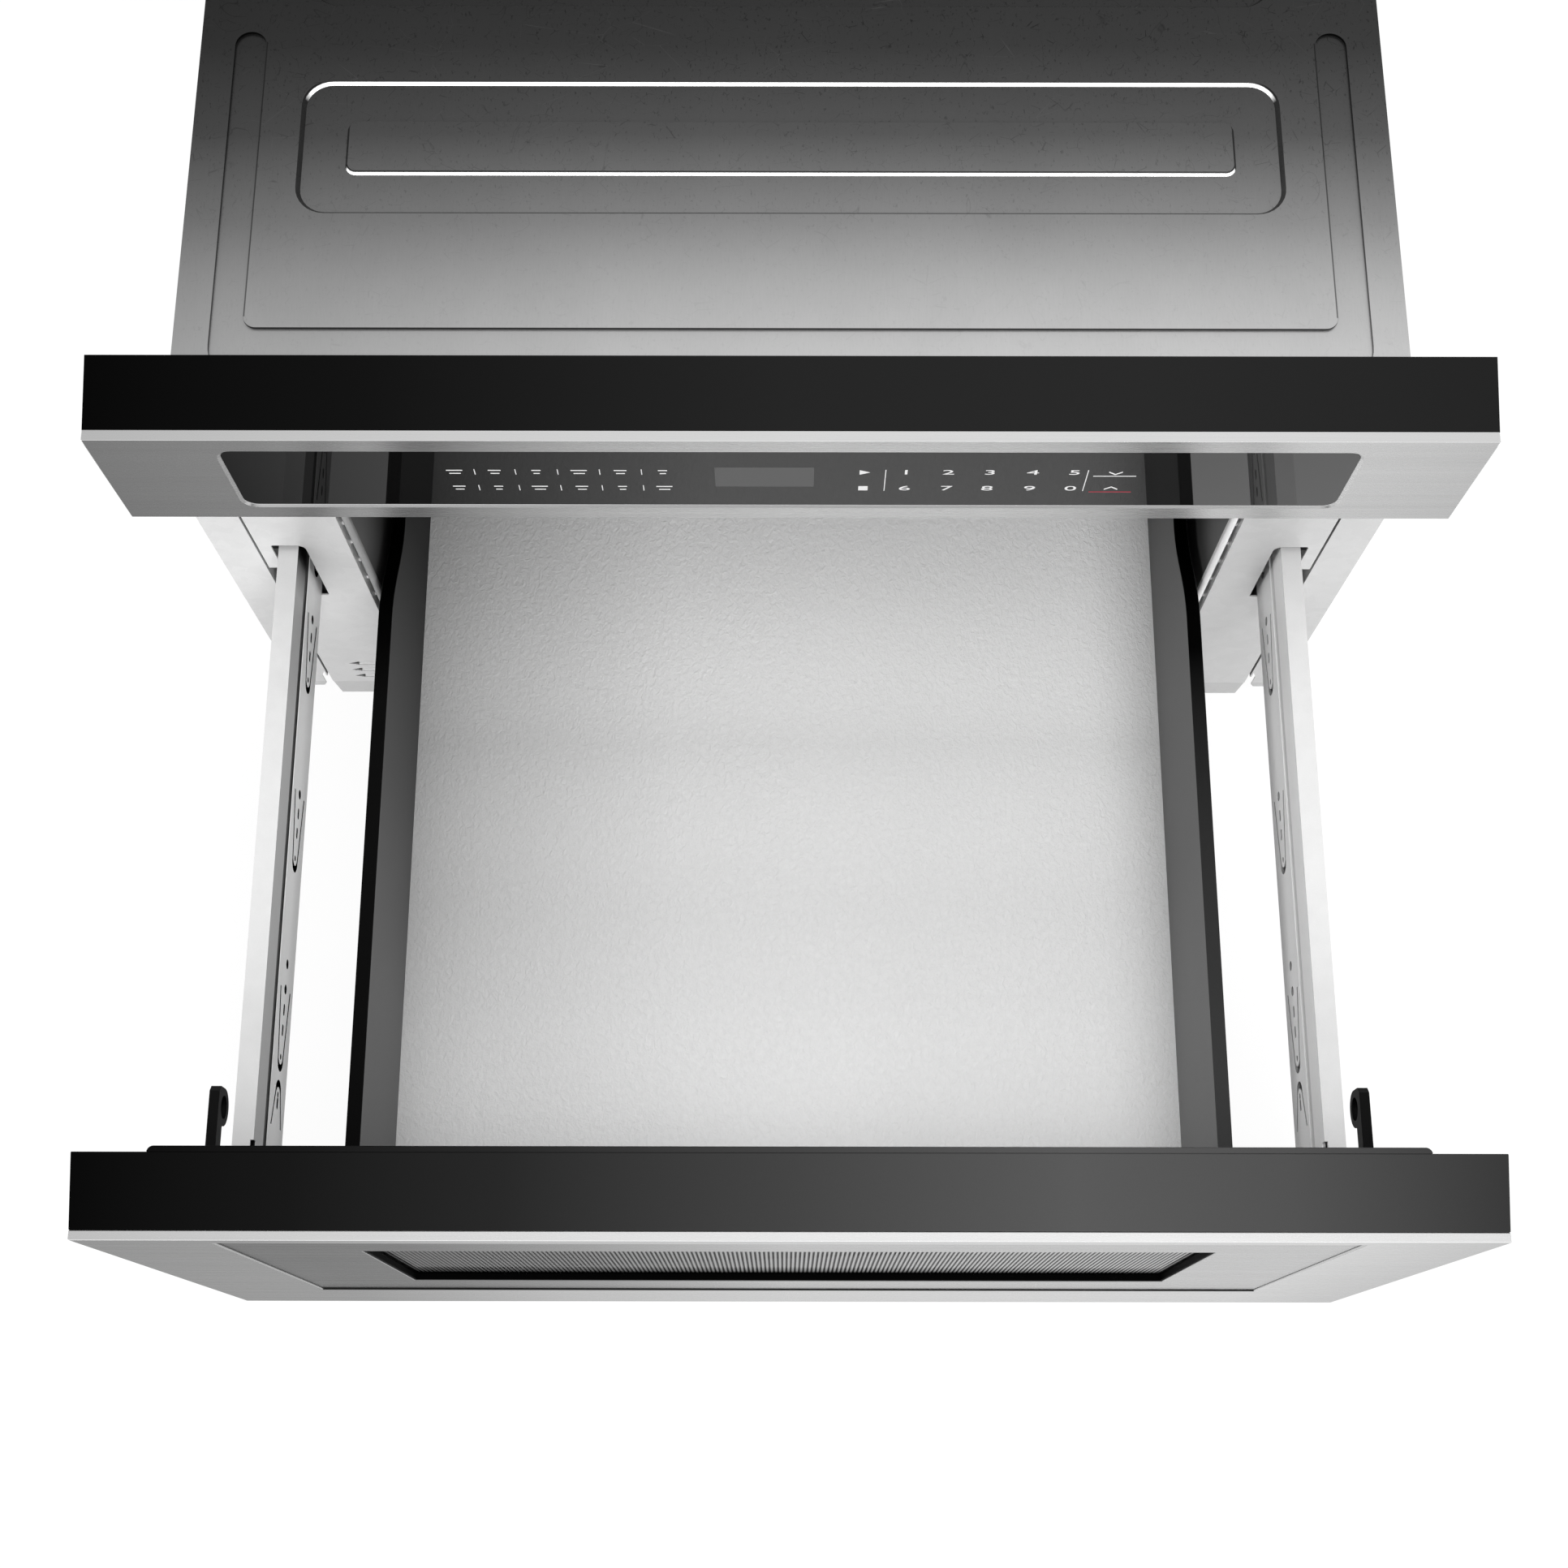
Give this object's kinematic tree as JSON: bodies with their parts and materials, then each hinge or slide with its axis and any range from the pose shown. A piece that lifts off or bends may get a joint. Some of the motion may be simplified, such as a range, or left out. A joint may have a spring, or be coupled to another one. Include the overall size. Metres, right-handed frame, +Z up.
{
  "type": "microwave drawer",
  "caption": "Built-in microwave oven with a stainless motor-driven drawer, a glass control panel above it, telescopic slides, and a boxed steel body with a mounting flange on each side.",
  "frame": {"origin": "on the centre line, where the cabinet's front face meets the underside of the body", "axes": "+X to the right seen from the front, +Y back into the cabinet, +Z up"},
  "size_m": [0.61, 0.9247, 0.4205],
  "materials": {
    "body_steel": "galvanised sheet",
    "cover_steel": "lightly scratched sheet",
    "slide_steel": "zinc plated",
    "stainless": "fine horizontal brushing",
    "black_frame": "satin moulded",
    "black_glass": "glossy printed glass",
    "display": "smoked display lens",
    "window_glass": "clear",
    "screen_metal": "perforated screen",
    "cavity_enamel": "grey enamel",
    "basin_floor_glass": "textured ceramic glass",
    "basin_side": "satin dark moulding",
    "choke_plastic": "pressed plate",
    "black_plastic": "moulded",
    "white_plastic": "moulded acetal",
    "mica": "mica sheet",
    "board_green": "solder mask",
    "bright_metal": "machined",
    "motor_metal": "drawn can",
    "core_steel": "varnished core and coil",
    "gear_brass": "cut teeth"
  },
  "bodies": {
    "cabinet": {"top_cover": "cover_steel", "left_side_panel": "body_steel", "right_side_panel": "body_steel", "rear_panel": "body_steel", "base_plate": "body_steel", "front_plate": "body_steel", "cavity_liner": "cavity_enamel", "choke_frame": "choke_plastic", "control_frame": "black_frame", "control_face": "stainless", "control_glass": "black_glass", "display_window": "display", "control_board": "board_green", "left_fixed_slide": "slide_steel", "right_fixed_slide": "slide_steel", "left_latch_switch": "white_plastic", "right_latch_switch": "white_plastic", "magnetron": "motor_metal", "waveguide": "bright_metal", "inverter_board": "board_green", "inverter_transformer": "core_steel", "inverter_heat_sink": "bright_metal", "stirrer_motor": "motor_metal", "stirrer_cover": "mica", "fan_housing": "black_plastic", "fan_motor": "motor_metal", "drive_motor": "motor_metal", "shaft_bearings": "white_plastic", "filter_board": "board_green", "cavity_lamp": "white_plastic", "thermal_cutouts": "black_plastic", "cord_gland": "black_plastic", "cabinet_screws": "bright_metal"},
    "drawer": {"door_face": "stainless", "door_panel": "stainless", "door_frame": "black_frame", "door_back": "black_frame", "window_glass": "window_glass", "window_screen": "screen_metal", "inner_window": "window_glass", "basin_floor": "basin_floor_glass", "left_basin_wall": "basin_side", "right_basin_wall": "basin_side", "rear_basin_wall": "basin_side", "left_drawer_rail": "slide_steel", "right_drawer_rail": "slide_steel", "left_rack": "white_plastic", "right_rack": "white_plastic", "left_latch_hook": "black_plastic", "right_latch_hook": "black_plastic"},
    "left_cage": {"left_ball_cage": "bright_metal"},
    "right_cage": {"right_ball_cage": "bright_metal"},
    "pinion_shaft": {"cross_shaft": "bright_metal", "shaft_gear": "gear_brass", "left_pinion": "white_plastic", "right_pinion": "white_plastic"},
    "motor_gear": {"motor_gear": "gear_brass"},
    "fan_wheel": {"fan_wheel": "black_plastic"},
    "stirrer": {"stirrer_blade": "bright_metal"}
  },
  "joints": [
    {"name": "drawer_slide", "type": "slide", "parent": "cabinet", "child": "drawer", "axis": [0, -1, 0], "range_m": [-0.3267, 0]},
    {"name": "left_cage_slide", "type": "slide", "parent": "cabinet", "child": "left_cage", "axis": [0, -1, 0], "range_m": [-0.164, 0.0005]},
    {"name": "right_cage_slide", "type": "slide", "parent": "cabinet", "child": "right_cage", "axis": [0, -1, 0], "range_m": [-0.164, 0.0005]},
    {"name": "pinion_shaft_spin", "type": "hinge", "parent": "cabinet", "child": "pinion_shaft", "pos_m": [0, 0.06, 0.0185], "axis": [1, 0, 0], "range_deg": [-1345, 5]},
    {"name": "motor_gear_spin", "type": "hinge", "parent": "cabinet", "child": "motor_gear", "pos_m": [0, 0.081, 0.0185], "axis": [1, 0, 0], "range_deg": [-5, 3350]},
    {"name": "fan_spin", "type": "hinge", "parent": "cabinet", "child": "fan_wheel", "pos_m": [0.12, 0.54, 0.19], "axis": [0, 1, 0], "continuous": true},
    {"name": "stirrer_spin", "type": "hinge", "parent": "cabinet", "child": "stirrer", "pos_m": [0, 0.19, 0.241], "axis": [0, 0, 1], "continuous": true}
  ],
  "couplings": [
    {"joint": "left_cage_slide", "follows": "drawer_slide", "ratio": 0.5},
    {"joint": "right_cage_slide", "follows": "drawer_slide", "ratio": 0.5},
    {"joint": "pinion_shaft_spin", "follows": "drawer_slide", "rad_per_m": 71.429},
    {"joint": "motor_gear_spin", "follows": "drawer_slide", "rad_per_m": -178.57}
  ]
}
